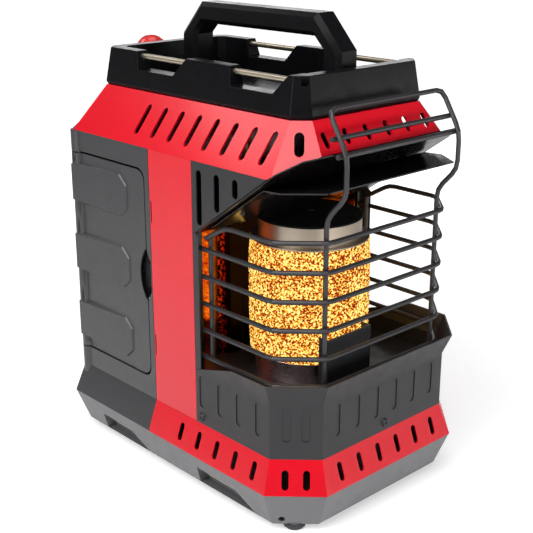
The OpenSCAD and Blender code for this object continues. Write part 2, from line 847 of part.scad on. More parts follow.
// perforated tube inside the mesh
module burner_core() color("gray") at_burner() translate([0, 0, mesh_z]) difference() {
    cylinder(r = 26, h = mesh_h, $fn = 48);
    translate([0, 0, -1]) cylinder(r = 24.5, h = mesh_h + 2, $fn = 48);
    for (z = [16 : 24 : 90]) translate([0, 0, z])
        rotate([90, 0, z * 4]) cylinder(r = 5, h = 60, center = true);
}

module burner_mesh() color("orange") at_burner() translate([0, 0, mesh_z]) difference() {
    cylinder(r = mesh_r, h = mesh_h, $fn = 96);
    translate([0, 0, -1]) cylinder(r = mesh_r - 2, h = mesh_h + 2, $fn = 96);
}

module burner_ring() color("silver") at_burner() difference() {
    union() {
        translate([0, 0, mesh_top]) cylinder(r = mesh_r, h = 1.2, $fn = 96);
        translate([0, 0, mesh_top]) cylinder(r = ring_r, h = ring_h, $fn = 96);
    }
    translate([0, 0, mesh_top - 1]) cylinder(r = ring_r - 1.2, h = ring_h + 2, $fn = 96);
}

module burner_cap() color("black") at_burner() translate([0, 0, ring_top]) {
    rotate_extrude($fn = 96) polygon([
        [0, 0], [ring_r + 1, 0], [ring_r + 1, 1.4], [ring_r - 1, 2.4], [0, 3.4]
    ]);
    translate([0, 0, 2.4]) cylinder(r = 4, h = 3);
}

// black channel in front of the burner that shields the pilot
shield_x = [-44, 12];
shield_y = burner_y - 67;
shield_top = pan_z + 57.5;
shelf_z = pan_z + 26;
pilot_y = shield_y + 6;
module pilot_bracket() color("black") {
    w = shield_x[1] - shield_x[0];
    h = shield_top - pan_z - sheet;
    translate([shield_x[0], shield_y, pan_z + sheet]) cube([w, sheet, h]);
    for (x = [shield_x[0], shield_x[1] - sheet])
        translate([x, shield_y, pan_z + sheet]) cube([sheet, 11, h]);
    translate([shield_x[0], shield_y, shelf_z - sheet]) cube([w, 11, sheet]);
    translate([shield_x[0], shield_y - 8, pan_z + sheet]) cube([w, 8 + eps, sheet]);
}

module pilot_burner() color("silver") translate([-30, pilot_y, shelf_z]) difference() {
    union() {
        cylinder(r = 3, h = 14);
        translate([0, 0, 14]) cylinder(r = 3.8, h = 8);
    }
    translate([0, 0, 4]) cylinder(r = 1.8, h = 20);
}

module thermocouple() color("tan") translate([-17, pilot_y, shelf_z]) {
    cylinder(r = 3, h = 8);
    translate([0, 0, 8]) cylinder(r = 1.6, h = 18);
}

module spark_electrode() color("white") translate([4, pilot_y, shelf_z]) {
    cylinder(r = 2.6, h = 16);
    translate([0, 0, 16]) cylinder(r = 0.9, h = 10);
}

// ---- guard ----------------------------------------------------------------

hoop_x = half_w - hoop_in_x;
hoop_y = half_d - hoop_in_y;
hoop_cut = 32;
hoop_back_y = stripe_front_y - 5.5;
hoop_end_y = cheek_back_y + 0.4;
HOOPS = [for (i = [0 : 5]) hoop_z - i * hoop_pitch];

function hoop_front(z) = [
    [-hoop_x, -hoop_y + hoop_cut, z], [-hoop_x + hoop_cut, -hoop_y, z],
    [hoop_x - hoop_cut, -hoop_y, z], [hoop_x, -hoop_y + hoop_cut, z]
];

module guard_hoops() color("dimgray") for (i = [0 : 5]) {
    z = HOOPS[i];
    // the top hoop bends down at the back, the second and last reach the side flanges
    back = i == 0
        ? [[hoop_x, burner_y - 4, z], [hoop_x, burner_y + 22, plane_z(burner_y + 22) - 10]]
        : [[hoop_x, i == 1 || i == 5 ? hoop_end_y : hoop_back_y, z]];
    ends = [for (j = [len(back) - 1 : -1 : 0]) [-back[j].x, back[j].y, back[j].z]];
    bar(rounded(concat(ends, hoop_front(z), back), 7), wire);
}

upright_x = half_w - upright_in;
// the uprights stand against the hoops just where these start to bend
upright_y = -hoop_y + wire + 0.8;
upright_out_y = -half_d - 11.3;
// side view of one front upright, from the clip to the top bar
UPRIGHT = [
    [upright_y, knee_z - 6], [upright_y, hoop_z + 18.8], [upright_out_y, hood_z - 13],
    [upright_out_y, hood_z + 20], [upright_out_y + 20.8, hood_z + 53.5]
];
module guard_uprights() color("dimgray") {
    left = [for (p = UPRIGHT) [-upright_x, p.x, p.y]];
    right = [for (i = [len(UPRIGHT) - 1 : -1 : 0]) [upright_x, UPRIGHT[i].x, UPRIGHT[i].y]];
    bar(rounded(concat(left, right), 8), wire);
}

module guard_crossbars() color("dimgray") {
    reach = upright_x + 4.5;
    bend = UPRIGHT[3];
    lean = UPRIGHT[4] - UPRIGHT[3];
    across_lean = [lean.y, -lean.x] / norm(lean) * wire;
    upper = bend + lean * 0.42 + across_lean;
    for (p = [[bend.x + wire + 1.3, bend.y - 1], upper])
        translate([-reach, p.x, p.y]) rotate([0, 90, 0]) cylinder(d = wire, h = 2 * reach, $fn = 20);
}

module guard_posts() color("dimgray") mirror_x()
    translate([-hoop_x + wire, hoop_back_y - 6, HOOPS[5] - 3.7])
        cylinder(d = wire, h = 4 * hoop_pitch + 13.8, $fn = 20);

// clips that hold the lower ends of the uprights to the shroud
module guard_clips() color("dimgray") mirror_x() difference() {
    translate([-upright_x - 6, -half_d + shroud_t, knee_z - 13])
        cube([12, half_d - shroud_t + upright_y + 4, 12]);
    translate([-upright_x, upright_y, knee_z - 6]) cylinder(d = wire, h = 20, $fn = 20);
}

// ---- hood -----------------------------------------------------------------

slot_top = tray_z - 8.8;
module hood_slots() {
    rear_y = burner_y + 119.2;
    mirror_x() for (i = [0 : 7])
        slot_x(rear_y - i * hood_pitch, hood_z + 7.9, slot_top, hood_slot_w, -big / 2, -half_w + 40);
    for (i = [-2.5 : 2.5])
        slot_y(i * skirt_pitch, hood_z + 20.2, slot_top, hood_slot_w, -big / 2, -half_d + 40);
    mirror_x() at_corner() slot_y(0, hood_z + 16, slot_top + 0.7, 8, -20, 30);
}

console_x = [knob_x - 22, button_x + 15.5];
// wall of the hood, measured level
hood_t = sheet * 1.6;
module hood() color("red") difference() {
    loft(HOOD_FOOT, hood_z, HOOD_TOP, tray_z);
    loft(
        grow(HOOD_FOOT, -hood_t), hood_z - eps,
        grow(HOOD_TOP, -hood_t), tray_z - sheet
    );
    intersection() {
        below_plane(0);
        slab_y(-big, -60);
    }
    hood_slots();
    translate([console_x[0] + 4, half_d - 28, hood_z - 1])
        cube([console_x[1] - console_x[0] - 8, 25, 60]);
}

// ---- tray -----------------------------------------------------------------

TRAY_TOP = grow(HOOD_TOP, -tray_draft);
// height of the chamfer round the foot of the tray, and how far it stands out over the hood
tray_edge = 3;
tray_lip = 0.6;
tray_floor = 3.2;
// inner outline of the tray, at distance t from the rim's outer edge
function tray_inside(t) = let (d = tray_draft + t)
    cut_box(half_w - hood_in_x - d, half_d - hood_in_y - d, 5, 5);
tray_notch_z = rim_z - 16.5;
// rear upper corners of the two notches in each side of the tray
TRAY_NOTCHES = [half_d - 86.5, -half_d + 120.5];
tray_notch_len = 70;
tray_rod_z = rim_z - 4.9;
tray_rod_x = half_w - hood_in_x - tray_draft - 6;

function tray_notch(y) = [
    [y + 1, rim_z + 2], [y - 3, tray_notch_z], [y - tray_notch_len + 16, tray_notch_z],
    [y - tray_notch_len, rim_z], [y - tray_notch_len - 2, rim_z + 2]
];

module tray_rod(y) {
    translate([-tray_rod_x, y + 4, tray_rod_z])
        rotate([90, 0, 0]) cylinder(d = tray_rod_d, h = tray_notch_len + 6);
}

leg_t = 21;
// middle of each handle foot, front to back
HANDLE_FEET = [for (s = [-1, 1]) handle_y + s * (handle_half - leg_t / 2)];

// block as wide as a handle foot and g more on every side
module foot_block(g, h) {
    translate([-handle_w / 2 - g, -leg_t / 2 - g, 0]) cube([handle_w + 2 * g, leg_t + 2 * g, h]);
}

BOSSES = [for (sx = [-1, 1], sy = [-1, 1]) [sx * 34, sy * (half_d - 70)]];

module tray_solid() {
    TRAY_EDGE = grow(HOOD_TOP, tray_lip);
    loft(grow(HOOD_TOP, -1.2), tray_z, TRAY_EDGE, tray_z + tray_edge);
    loft(TRAY_EDGE, tray_z + tray_edge, TRAY_TOP, rim_z);
}

module top_tray() color("black") difference() {
    union() {
        difference() {
            tray_solid();
            loft(tray_inside(rim_t + 1), tray_z + tray_floor, tray_inside(rim_t), rim_z + eps);
        }
        for (p = BOSSES) translate([p.x, p.y, tray_z]) cylinder(r = 8, h = 9);
        // sockets round the feet of the handle
        for (y = HANDLE_FEET) translate([0, y, tray_z]) foot_block(3, 10);
    }
    for (y = HANDLE_FEET) translate([0, y, handle_foot_z]) foot_block(0.2, 30);
    mirror_x() for (y = TRAY_NOTCHES) {
        across(tray_notch(y), -half_w, -40);
        tray_rod(y);
    }
    for (p = BOSSES) translate([p.x, p.y, tray_z + 4]) cylinder(r = 3, h = 9);
    // round hole in each cut front corner
    for (m = [0, 1]) mirror([m, 0, 0]) translate([-half_w + 43.6, -half_d + 38, rim_z - 5.5])
        rotate([90, 0, -45]) cylinder(r = 3.4, h = 12, center = true);
}

module tray_rods() color("tan") mirror_x() for (y = TRAY_NOTCHES) tray_rod(y);

// ---- handle ---------------------------------------------------------------

handle_foot_z = tray_z + tray_floor;
outer_cut = [28, 30];
inner_cut = [11, 11];
handle_bevel = 4;

// [y, z] outline of the arch, moved in by i on every side but the feet
function arch(i) = let (
    a = handle_half - i,
    b = handle_half - leg_t + i,
    zt = handle_z - i,
    zi = handle_z - grip_t + i,
    k = i * 0.42
) [
    for (p = [
        [-a, handle_foot_z], [-b, handle_foot_z],
        [-b, zi - inner_cut.y - k], [-b + inner_cut.x + k, zi],
        [b - inner_cut.x - k, zi], [b, zi - inner_cut.y - k],
        [b, handle_foot_z], [a, handle_foot_z],
        [a, zt - outer_cut.y + k], [a - outer_cut.x + k, zt],
        [-a + outer_cut.x - k, zt], [-a, zt - outer_cut.y + k]
    ]) [p.x + handle_y, p.y]
];

// the legs, the bends and the grip of the arch, by the numbers of their points
ARCH_CAPS = [[0, 1, 2, 11], [11, 2, 3, 10], [10, 3, 4, 9], [9, 4, 5, 8], [8, 5, 6, 7]];

// half of the handle on the left of its seam, with bevelled outer edges
module handle_shell() {
    w = handle_w / 2;
    across(arch(0), -w + handle_bevel, 0);
    translate([-w + handle_bevel, 0, 0]) rotate([90, 0, -90]) mirror([1, 0, 0])
        loft(arch(0), -eps, arch(handle_bevel), handle_bevel, ARCH_CAPS);
}

module handle_left() color("black") handle_shell();
module handle_right() color("black") mirror([1, 0, 0]) handle_shell();

// screws up through the tray into the feet of the handle
module handle_screws() color("silver") {
    for (y = HANDLE_FEET, x = [-6.5, 6.5]) translate([x, y, tray_z - sheet - 2]) cylinder(r = 3.4, h = 2);
}

// ---- controls -------------------------------------------------------------

console_back = half_d - 0.5;
console_edge = 2.5;
console_front = half_d - hood_in_y + tray_lip + 0.1;
module console_solid(g) {
    across(
        [
            [console_front + g, tray_z - g * 3], [console_back - g, hood_z + 2 + g * 4],
            [console_back - g, console_top - console_edge - g],
            [console_back - console_edge - g, console_top - g],
            [console_front + g, console_top - g]
        ],
        console_x[0] + g, console_x[1] - g
    );
}

stem_r = 3;
console_t = 2.2;
module control_console() color("black") difference() {
    console_solid(0);
    console_solid(console_t);
    translate([console_x[0] + 6, half_d - 28, hood_z - 1])
        cube([console_x[1] - console_x[0] - 12, 24, 50]);
    translate([knob_x, control_y, console_top - 10]) cylinder(r = 9, h = 20);
    translate([button_x, control_y, console_top - 10]) cylinder(r = button_r + 0.4, h = 20);
}

valve_z = hood_z + 8.5;
// outer radius of the valve and the igniter where they meet the console
seat_r = 10.2;
module gas_valve() color("goldenrod") translate([knob_x, control_y, 0]) difference() {
    union() {
        translate([0, 0, valve_z]) cylinder(r = seat_r, h = console_top - console_t - valve_z);
        translate([0, 0, console_top - 16]) cylinder(r = 8.9, h = 17);
        translate([0, 0, valve_z - 8]) cylinder(r = 6, h = 8);
    }
    translate([0, 0, valve_z + 20]) cylinder(r = stem_r + fit, h = console_top - valve_z);
}

stem_top = console_top + 12;
module valve_stem() color("silver") translate([knob_x, control_y, 0])
    translate([0, 0, valve_z + 20 + push + 0.5])
        cylinder(r = stem_r, h = stem_top - valve_z - 20 - push - 0.5);

module control_knob() color("red") translate([knob_x, control_y, 0]) {
    z0 = console_top + push + 1.6;
    difference() {
        union() {
            translate([0, 0, z0]) cylinder(r = knob_r, h = 8);
            translate([0, 0, z0 + 8]) intersection() {
                translate([0, 0, knob_top - z0 - 8 - 16.5]) sphere(r = 16.5, $fn = 64);
                cylinder(r = knob_r, h = 40);
            }
            // pointer rib
            translate([-1.5, -knob_r - 1.2, z0]) cube([3, 6, 7]);
        }
        translate([0, 0, z0 - 1]) cylinder(r = stem_r + fit, h = stem_top - z0 + 1.3);
    }
}

module igniter_button() color("red") translate([button_x, control_y, 0]) {
    z0 = console_top - 8;
    rotate_extrude() polygon([
        [0, z0], [button_r, z0], [button_r, console_top + 7], [button_r - 1.5, console_top + 9],
        [0, console_top + 10]
    ]);
    translate([0, 0, z0 - 14]) cylinder(r = 3, h = 14 + eps);
}

// piezo igniter below its button
cup_z = console_top - 24;
module igniter_body() color("dimgray") translate([button_x, control_y, 0]) difference() {
    union() {
        translate([0, 0, valve_z]) cylinder(r = 7.5, h = cup_z + 8 - valve_z);
        translate([0, 0, cup_z]) cylinder(r = seat_r, h = 8);
        difference() {
            translate([0, 0, cup_z]) cylinder(r = seat_r, h = console_top - console_t - cup_z);
            translate([0, 0, cup_z - 1]) cylinder(r = button_r + 0.4, h = 40);
        }
    }
    translate([0, 0, valve_z + 14]) cylinder(r = 3 + fit, h = console_top - valve_z);
}

// ---- gas path -------------------------------------------------------------

swivel_z = hood_z - 33.5;
module swivel_block() color("goldenrod") translate([tank_x, tank_y, 0]) difference() {
    union() {
        translate([0, 0, swivel_z]) cylinder(r = 9, h = 26);
        translate([-14, -14, swivel_z + 26]) cube([28, 28, hood_z - sheet - swivel_z - 26]);
    }
    translate([0, 0, swivel_z - 1]) cylinder(r = 5 + fit, h = 15);
}

// pressure regulator, free to swivel about its vertical stem
module regulator() color("silver") translate([tank_x, tank_y, 0]) difference() {
    union() {
        translate([0, 0, swivel_z - 6]) cylinder(r = 5, h = 18);
        translate([0, 0, swivel_z - 44]) cylinder(r = 15, h = 38);
        translate([0, 16, swivel_z - 24]) rotate([90, 0, 0]) cylinder(r = 20, h = 32);
        translate([0, 0, swivel_z - 66]) cylinder(r = 18, h = 24);
    }
    translate([0, 0, swivel_z - 67]) cylinder(r = 12.7, h = 19);
    translate([0, 0, swivel_z - 49]) cylinder(r = 3, h = 20);
}

supply_z = hood_z - 17.5;
module supply_pipe() color("goldenrod") bar(
    rounded([
        [tank_x + 9, tank_y, supply_z], [tank_x + 24, tank_y, supply_z], [knob_x, tank_y + 24, supply_z],
        [knob_x, control_y, supply_z], [knob_x, control_y, valve_z - 8]
    ], 8),
    6
);

burner_pipe_z = valve_z + 10;
module burner_pipe() color("goldenrod") bar(
    rounded([
        [knob_x, control_y - seat_r, burner_pipe_z], [knob_x, part_y - 7, burner_pipe_z],
        [knob_x, part_y - 7, pan_z + 9], [knob_x, burner_y + 50, pan_z + 9]
    ], 8),
    6
);

// sealed tip-over switch on the partition
module tip_switch() color("dimgray") {
    translate([half_w - 71.5, part_y + sheet, body_z + 17]) cube([34, 22, 30]);
    translate([half_w - 75.5, part_y + sheet, body_z + 22]) cube([42, 2, 20]);
}

base_tray();
rubber_feet();
base_rods();
foot_screws();
cylinder_cradle();
front_skirt();
rear_skirt();
rear_housing();
side_panel_left();
side_panel_right();
cheek_left();
cheek_right();
front_shroud();
shroud_screws();
partition();
burner_pan();
rear_reflector();
upper_reflector();
lower_reflector();
burner_plenum();
burner_core();
burner_mesh();
burner_ring();
burner_cap();
pilot_bracket();
pilot_burner();
thermocouple();
spark_electrode();
guard_hoops();
guard_uprights();
guard_crossbars();
guard_posts();
guard_clips();
hood();
top_tray();
tray_rods();
handle_left();
handle_right();
handle_screws();
control_console();
gas_valve();
valve_stem();
control_knob();
igniter_button();
igniter_body();
swivel_block();
regulator();
supply_pipe();
burner_pipe();
tip_switch();
tank_door();
hinge_pin();
door_latch();
latch_cup();
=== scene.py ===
import json
import math

import bmesh
import bpy
from mathutils import Matrix, Vector, noise
from mathutils.bvhtree import BVHTree

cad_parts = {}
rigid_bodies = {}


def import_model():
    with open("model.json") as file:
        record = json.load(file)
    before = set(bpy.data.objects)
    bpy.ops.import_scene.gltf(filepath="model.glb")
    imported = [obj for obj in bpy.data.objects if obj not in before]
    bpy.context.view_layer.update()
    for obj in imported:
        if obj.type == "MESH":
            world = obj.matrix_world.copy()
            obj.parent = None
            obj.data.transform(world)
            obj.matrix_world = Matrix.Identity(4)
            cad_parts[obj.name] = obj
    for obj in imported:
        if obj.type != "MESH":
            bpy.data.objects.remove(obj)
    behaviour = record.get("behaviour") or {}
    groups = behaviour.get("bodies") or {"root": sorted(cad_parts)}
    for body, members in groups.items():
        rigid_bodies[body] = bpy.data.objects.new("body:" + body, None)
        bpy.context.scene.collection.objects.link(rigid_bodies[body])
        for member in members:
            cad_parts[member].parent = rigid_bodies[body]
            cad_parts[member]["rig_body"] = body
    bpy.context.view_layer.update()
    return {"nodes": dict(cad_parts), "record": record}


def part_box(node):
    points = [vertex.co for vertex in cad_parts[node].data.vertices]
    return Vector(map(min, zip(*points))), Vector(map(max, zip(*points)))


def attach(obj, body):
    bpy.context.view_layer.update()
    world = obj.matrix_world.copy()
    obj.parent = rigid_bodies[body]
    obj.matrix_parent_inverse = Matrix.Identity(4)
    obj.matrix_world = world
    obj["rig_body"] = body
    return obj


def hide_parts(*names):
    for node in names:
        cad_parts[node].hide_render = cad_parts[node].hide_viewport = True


MM = 0.001
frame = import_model()
nodes = frame["nodes"]


# ---- camera ---------------------------------------------------------------

AZIMUTH = math.radians(-43.09)
ELEVATION = math.radians(18.91)
DISTANCE = 1.0283
FOCAL_PX = 1053.23
IMAGE_PX = 533
SENSOR_MM = 36
AIM_RIGHT = 0.00893
AIM_UP = 0.18693


def add_camera():
    back = Vector((
        math.sin(AZIMUTH) * math.cos(ELEVATION),
        -math.cos(AZIMUTH) * math.cos(ELEVATION),
        math.sin(ELEVATION),
    ))
    right = Vector((math.cos(AZIMUTH), math.sin(AZIMUTH), 0))
    up = back.cross(right)
    data = bpy.data.cameras.new("camera")
    data.sensor_width = SENSOR_MM
    data.lens = FOCAL_PX * SENSOR_MM / IMAGE_PX
    data.clip_start = 0.05
    data.clip_end = 50
    camera = bpy.data.objects.new("camera", data)
    bpy.context.scene.collection.objects.link(camera)
    place = right * AIM_RIGHT + Vector((0, 0, AIM_UP)) + back * DISTANCE
    turn = Matrix((right, up, back)).transposed()
    camera.matrix_world = Matrix.Translation(place) @ turn.to_4x4()
    bpy.context.scene.camera = camera


# ---- node helpers ---------------------------------------------------------

# a noise texture's values lie mostly between these two
NOISE_LOW, NOISE_HIGH = 0.3, 0.7


class Shader:
    """A material under construction, with its Principled shader and object coordinates."""

    def __init__(self, name):
        self.material = bpy.data.materials.new(name)
        self.material.use_nodes = True
        self.tree = self.material.node_tree
        self.bsdf = self.tree.nodes["Principled BSDF"]
        self.coords = self.tree.nodes.new("ShaderNodeTexCoord").outputs["Object"]

    def node(self, kind, **values):
        """A new node. Each value is set on its property or, failing that, on its input."""
        made = self.tree.nodes.new(kind)
        for key, value in values.items():
            if hasattr(made, key):
                setattr(made, key, value)
            else:
                made.inputs[key].default_value = value
        return made

    def link(self, a, b):
        self.tree.links.new(a, b)

    def noise(self, scale, detail=3.0, rough=0.5, stretch=None):
        made = self.node("ShaderNodeTexNoise", Scale=scale, Detail=detail, Roughness=rough)
        source = self.coords
        if stretch:
            mapping = self.node("ShaderNodeMapping", Scale=stretch)
            self.link(self.coords, mapping.inputs["Vector"])
            source = mapping.outputs["Vector"]
        self.link(source, made.inputs["Vector"])
        return made.outputs["Fac"]

    def ramp(self, source, *stops):
        """A colour ramp through (place, colour) stops, where a number is a grey."""
        made = self.node("ShaderNodeValToRGB")
        elements = made.color_ramp.elements
        while len(elements) < len(stops):
            elements.new(0.5)
        for element, (place, colour) in zip(elements, stops):
            rgb = colour if isinstance(colour, tuple) else (colour,) * 3
            element.position = place
            element.color = (*rgb, 1)
        self.link(source, made.inputs["Fac"])
        return made.outputs["Color"]

    def remap(self, source, from_low, from_high, to_low=0.0, to_high=1.0):
        made = self.node("ShaderNodeMapRange")
        made.inputs["From Min"].default_value = from_low
        made.inputs["From Max"].default_value = from_high
        made.inputs["To Min"].default_value = to_low
        made.inputs["To Max"].default_value = to_high
        self.link(source, made.inputs["Value"])
        return made.outputs["Result"]

    def math(self, operation, *terms):
        """A Math node, whose terms are numbers or outputs of other nodes."""
        made = self.node("ShaderNodeMath", operation=operation)
        for socket, term in zip(made.inputs, terms):
            if isinstance(term, (int, float)):
                socket.default_value = term
            else:
                self.link(term, socket)
        return made.outputs[0]

    def split(self, vector):
        made = self.node("ShaderNodeSeparateXYZ")
        self.link(vector, made.inputs[0])
        return made.outputs

    def length(self, vector):
        made = self.node("ShaderNodeVectorMath", operation="LENGTH")
        self.link(vector, made.inputs[0])
        return made.outputs["Value"]

    def cover(self, share, under, colour):
        """The colour `under`, with a constant colour over it where `share` is 1."""
        made = self.node("ShaderNodeMix", data_type="RGBA")
        self.link(share, made.inputs["Factor"])
        self.link(under, made.inputs["A"])
        made.inputs["B"].default_value = (*colour, 1)
        return made.outputs["Result"]

    def multiply(self, a, b):
        """Two colours multiplied."""
        made = self.node("ShaderNodeMix", data_type="RGBA", blend_type="MULTIPLY")
        made.inputs["Factor"].default_value = 1
        self.link(a, made.inputs["A"])
        self.link(b, made.inputs["B"])
        return made.outputs["Result"]

    def bump(self, source, strength, distance):
        made = self.node("ShaderNodeBump", Strength=strength, Distance=distance)
        self.link(source, made.inputs["Height"])
        self.link(made.outputs["Normal"], self.bsdf.inputs["Normal"])

    def principled(self, **values):
        """Constants of the Principled shader, with _ for a blank in the input's name."""
        for key, value in values.items():
            self.bsdf.inputs[key.replace("_", " ")].default_value = value


# ---- finishes -------------------------------------------------------------

FINE_ROUGH = 0.6  # share of the small waves in the grain
WEAR_SCALE = 2.6  # patches of wear are this much smaller than those of the tint
# painted shade: nearly black for the inner faces of the side panels, inside the body where
# shade falls
PAINTED_SHADE_INSIDE = (0.006, 0.004, 0.004)


def shade(colour, share):
    return tuple(min(1, max(0, c * share)) for c in colour)


def surface(name, colour, rough, metal=0.0, vary=0.08, patch=35, rough_vary=0.06,
            grain=None, grain_depth=0.0001, grain_strength=0.3, stretch=None,
            coat=0.0, coat_rough=0.1, specular=0.5, fleck=0.0, shaded_panel=None):
    """A finish whose tint and roughness drift in patches, over a fine grain of bumps."""
    s = Shader(name)
    tint = s.ramp(
        s.noise(patch, 4),
        (NOISE_LOW, shade(colour, 1 - vary)), (NOISE_HIGH, shade(colour, 1 + vary)),
    )
    if grain:
        fine = s.noise(grain, 3, FINE_ROUGH, stretch)
        if fleck:
            tint = s.multiply(tint, s.ramp(fine, (0.35, 1 - fleck), (0.65, 1.0)))
        s.bump(fine, grain_strength, grain_depth)
    # painted shade: the inner faces of the side panel are made nearly black
    if shaded_panel:
        tint = paint_shade_inside(s, tint, shaded_panel)
    s.link(tint, s.bsdf.inputs["Base Color"])
    wear = s.remap(s.noise(patch * WEAR_SCALE, 3), NOISE_LOW, NOISE_HIGH,
                   rough - rough_vary, rough + rough_vary)
    s.link(wear, s.bsdf.inputs["Roughness"])
    s.principled(Metallic=metal, Coat_Weight=coat, Coat_Roughness=coat_rough,
                 Specular_IOR_Level=specular)
    return s


def paint_shade_inside(s, tint, panel):
    """The tint, with painted shade: nearly black on the inner faces of a side panel."""
    lo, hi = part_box(panel)
    skin, edge = 0.25 * MM, 2 * MM
    place = s.split(s.coords)
    across = s.math("ABSOLUTE", place["X"])
    inside = s.math("LESS_THAN", across, -lo[0] - skin)
    above = s.math("GREATER_THAN", place["Z"], lo[2] + edge)
    below = s.math("LESS_THAN", place["Z"], hi[2] - edge)
    share = s.math("MULTIPLY", s.math("MULTIPLY", inside, above), below)
    return s.cover(share, tint, PAINTED_SHADE_INSIDE)


def heat_tint_and_glow_reflection_steel():
    """Polished steel, heat-tinted on the sheet close behind the burner, with painted
    reflections of the glowing mesh in its orange and in mottled patches.
    """
    s = Shader("polished_steel")
    lo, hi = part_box("burner_mesh")
    flat = s.node("ShaderNodeMapping", Scale=(1, 1, 0),
                  Location=(-(lo[0] + hi[0]) / 2, -(lo[1] + hi[1]) / 2, 0))
    s.link(s.coords, flat.inputs["Vector"])
    reach = s.length(flat.outputs["Vector"])
    wander = s.math("MULTIPLY_ADD", s.noise(70, 3), 6 * MM, reach)
    # from here on, in fifths of a metre from the burner's axis
    near = s.math("MULTIPLY", wander, 5)
    # the orange further out is heat tint with a painted reflection of the glowing mesh in
    # it
    ring, near_black, straw_tint_and_glow_reflection = (0.42, 0.35, 0.28), (0.010, 0.004, 0.003), (0.90, 0.24, 0.03)
    painted_glow_reflection, dull, bright = (1.0, 0.10, 0.01), 0.42, 0.10
    ring_end, near_black_from, near_black_end, tint_and_reflection_from = 0.30, 0.33, 0.46, 0.49
    tint = s.ramp(near, (ring_end, ring), (near_black_from, near_black), (near_black_end, near_black),
                  (tint_and_reflection_from, straw_tint_and_glow_reflection))
    # painted reflection: mottled patches of the glowing mesh's light, mirrored in a band
    # beside the bare edge
    reflection_band = s.ramp(near, (0.425, 0.0), (0.435, 1.0), (0.455, 1.0), (near_black_end, 0.0))
    reflection_patches = s.ramp(s.noise(330, 2), (0.47, 0.0), (0.60, 1.0))
    tint = s.cover(s.math("MULTIPLY", reflection_band, reflection_patches), tint, painted_glow_reflection)
    # nearly black again where the sheet runs up under the hood
    under = s.remap(s.split(s.coords)["Z"], hi[2] - 4 * MM, hi[2] + 8 * MM)
    sheet = s.ramp(near, (ring_end, 0.0), (near_black_from, 1.0))
    tint = s.cover(s.math("MULTIPLY", under, sheet), tint, near_black)
    s.link(tint, s.bsdf.inputs["Base Color"])
    s.link(s.ramp(near, (near_black_end, dull), (tint_and_reflection_from, bright)), s.bsdf.inputs["Roughness"])
    s.principled(Metallic=1)
    s.bump(s.noise(900, 3, FINE_ROUGH, (1, 1, 0.03)), 0.3, 0.03 * MM)
    return s


def glow_shader():
    """Hot woven wire: near-white knots between orange and dark red gaps."""
    s = Shader("glowing_mesh")
    knots = s.noise(520, 2, 0.55)
    drift = s.noise(60, 3)
    colour = s.ramp(
        s.math("MULTIPLY_ADD", drift, 0.22, knots),
        (0.51, (0.15, 0.005, 0.0)),
        (0.565, (0.50, 0.040, 0.0)),
        (0.605, (0.90, 0.23, 0.006)),
        (0.645, (1.0, 0.68, 0.07)),
        (0.71, (1.0, 0.97, 0.32)),
    )
    s.link(colour, s.bsdf.inputs["Emission Color"])
    s.principled(Emission_Strength=1.2, Base_Color=(0.05, 0.015, 0.005, 1), Roughness=0.8,
                 Specular_IOR_Level=0.1)
    return s


FINISH = {
    "base_plastic": surface("base_plastic", (0.150, 0.150, 0.158), 0.46, vary=0.05,
                            grain=1500, fleck=0.10),
    "rubber": surface("rubber", (0.045, 0.045, 0.048), 0.75, grain=900, specular=0.3),
    "nickel_rod": surface("nickel_rod", (0.62, 0.54, 0.42), 0.34, metal=1, vary=0.05,
                          grain=700, stretch=(1, 0.04, 1), grain_depth=0.00001),
    "zinc": surface("zinc", (0.62, 0.62, 0.63), 0.35, metal=1, grain=900),
    "red_metal": surface("red_metal", (0.60, 0.002, 0.012), 0.24, vary=0.02, grain=1300,
                         grain_depth=0.00003, coat=0.25, coat_rough=0.14, specular=0.4,
                         grain_strength=0.1, rough_vary=0.015,
                         # with painted shade on the inner faces of the side panels
                         shaded_panel="side_panel_left"),
    "grey_plastic": surface("grey_plastic", (0.022, 0.022, 0.025), 0.36, vary=0.05,
                            grain=1500, grain_strength=0.2, specular=0.75, fleck=0.12),
    "black_metal": surface("black_metal", (0.018, 0.018, 0.020), 0.42, vary=0.05,
                           grain=1200, grain_depth=0.00006, specular=0.4),
    "galvanised": surface("galvanised", (0.50, 0.51, 0.52), 0.42, metal=1, vary=0.12,
                          patch=120, grain=300),
    # heat tint, with painted reflections of the glowing mesh
    "polished_steel": heat_tint_and_glow_reflection_steel(),
    "burner_steel": surface("burner_steel", (0.80, 0.60, 0.61), 0.28, metal=1,
                            vary=0.15, patch=25, grain=900, stretch=(1, 1, 0.03),
                            grain_depth=0.00003),
    "cap_black": surface("cap_black", (0.006, 0.006, 0.006), 0.60, vary=0.1, grain=900,
                         specular=0.15),
    "guard_wire": surface("guard_wire", (0.020, 0.018, 0.020), 0.38, grain=900,
                          grain_depth=0.00005),
    "black_plastic": surface("black_plastic", (0.0055, 0.0055, 0.0065), 0.31, vary=0.12,
                             grain=900, grain_depth=0.00008, grain_strength=0.35,
                             specular=0.1, fleck=0.5),
    "brass": surface("brass", (0.66, 0.48, 0.20), 0.30, metal=1, grain=700),
    "cast_metal": surface("cast_metal", (0.52, 0.52, 0.53), 0.48, metal=1, grain=420,
                          grain_depth=0.0003),
    "ceramic": surface("ceramic", (0.85, 0.84, 0.80), 0.18, coat=0.5, vary=0.03),
    "red_plastic": surface("red_plastic", (0.62, 0.02, 0.02), 0.28, vary=0.04,
                           grain=900, grain_depth=0.00004, coat=0.7),
    "glowing_mesh": glow_shader(),
}
# the two sheets over the burner are of the black metal too, but polished
MIRROR_BLACK = surface("mirror_black", (0.007, 0.006, 0.006), 0.18, vary=0.1)
POLISHED = ("upper_reflector", "lower_reflector")

SLOT_OF = {
    row["node"]: row["material_slot"]
    for row in frame["record"]["subparts"] if "node" in row
}


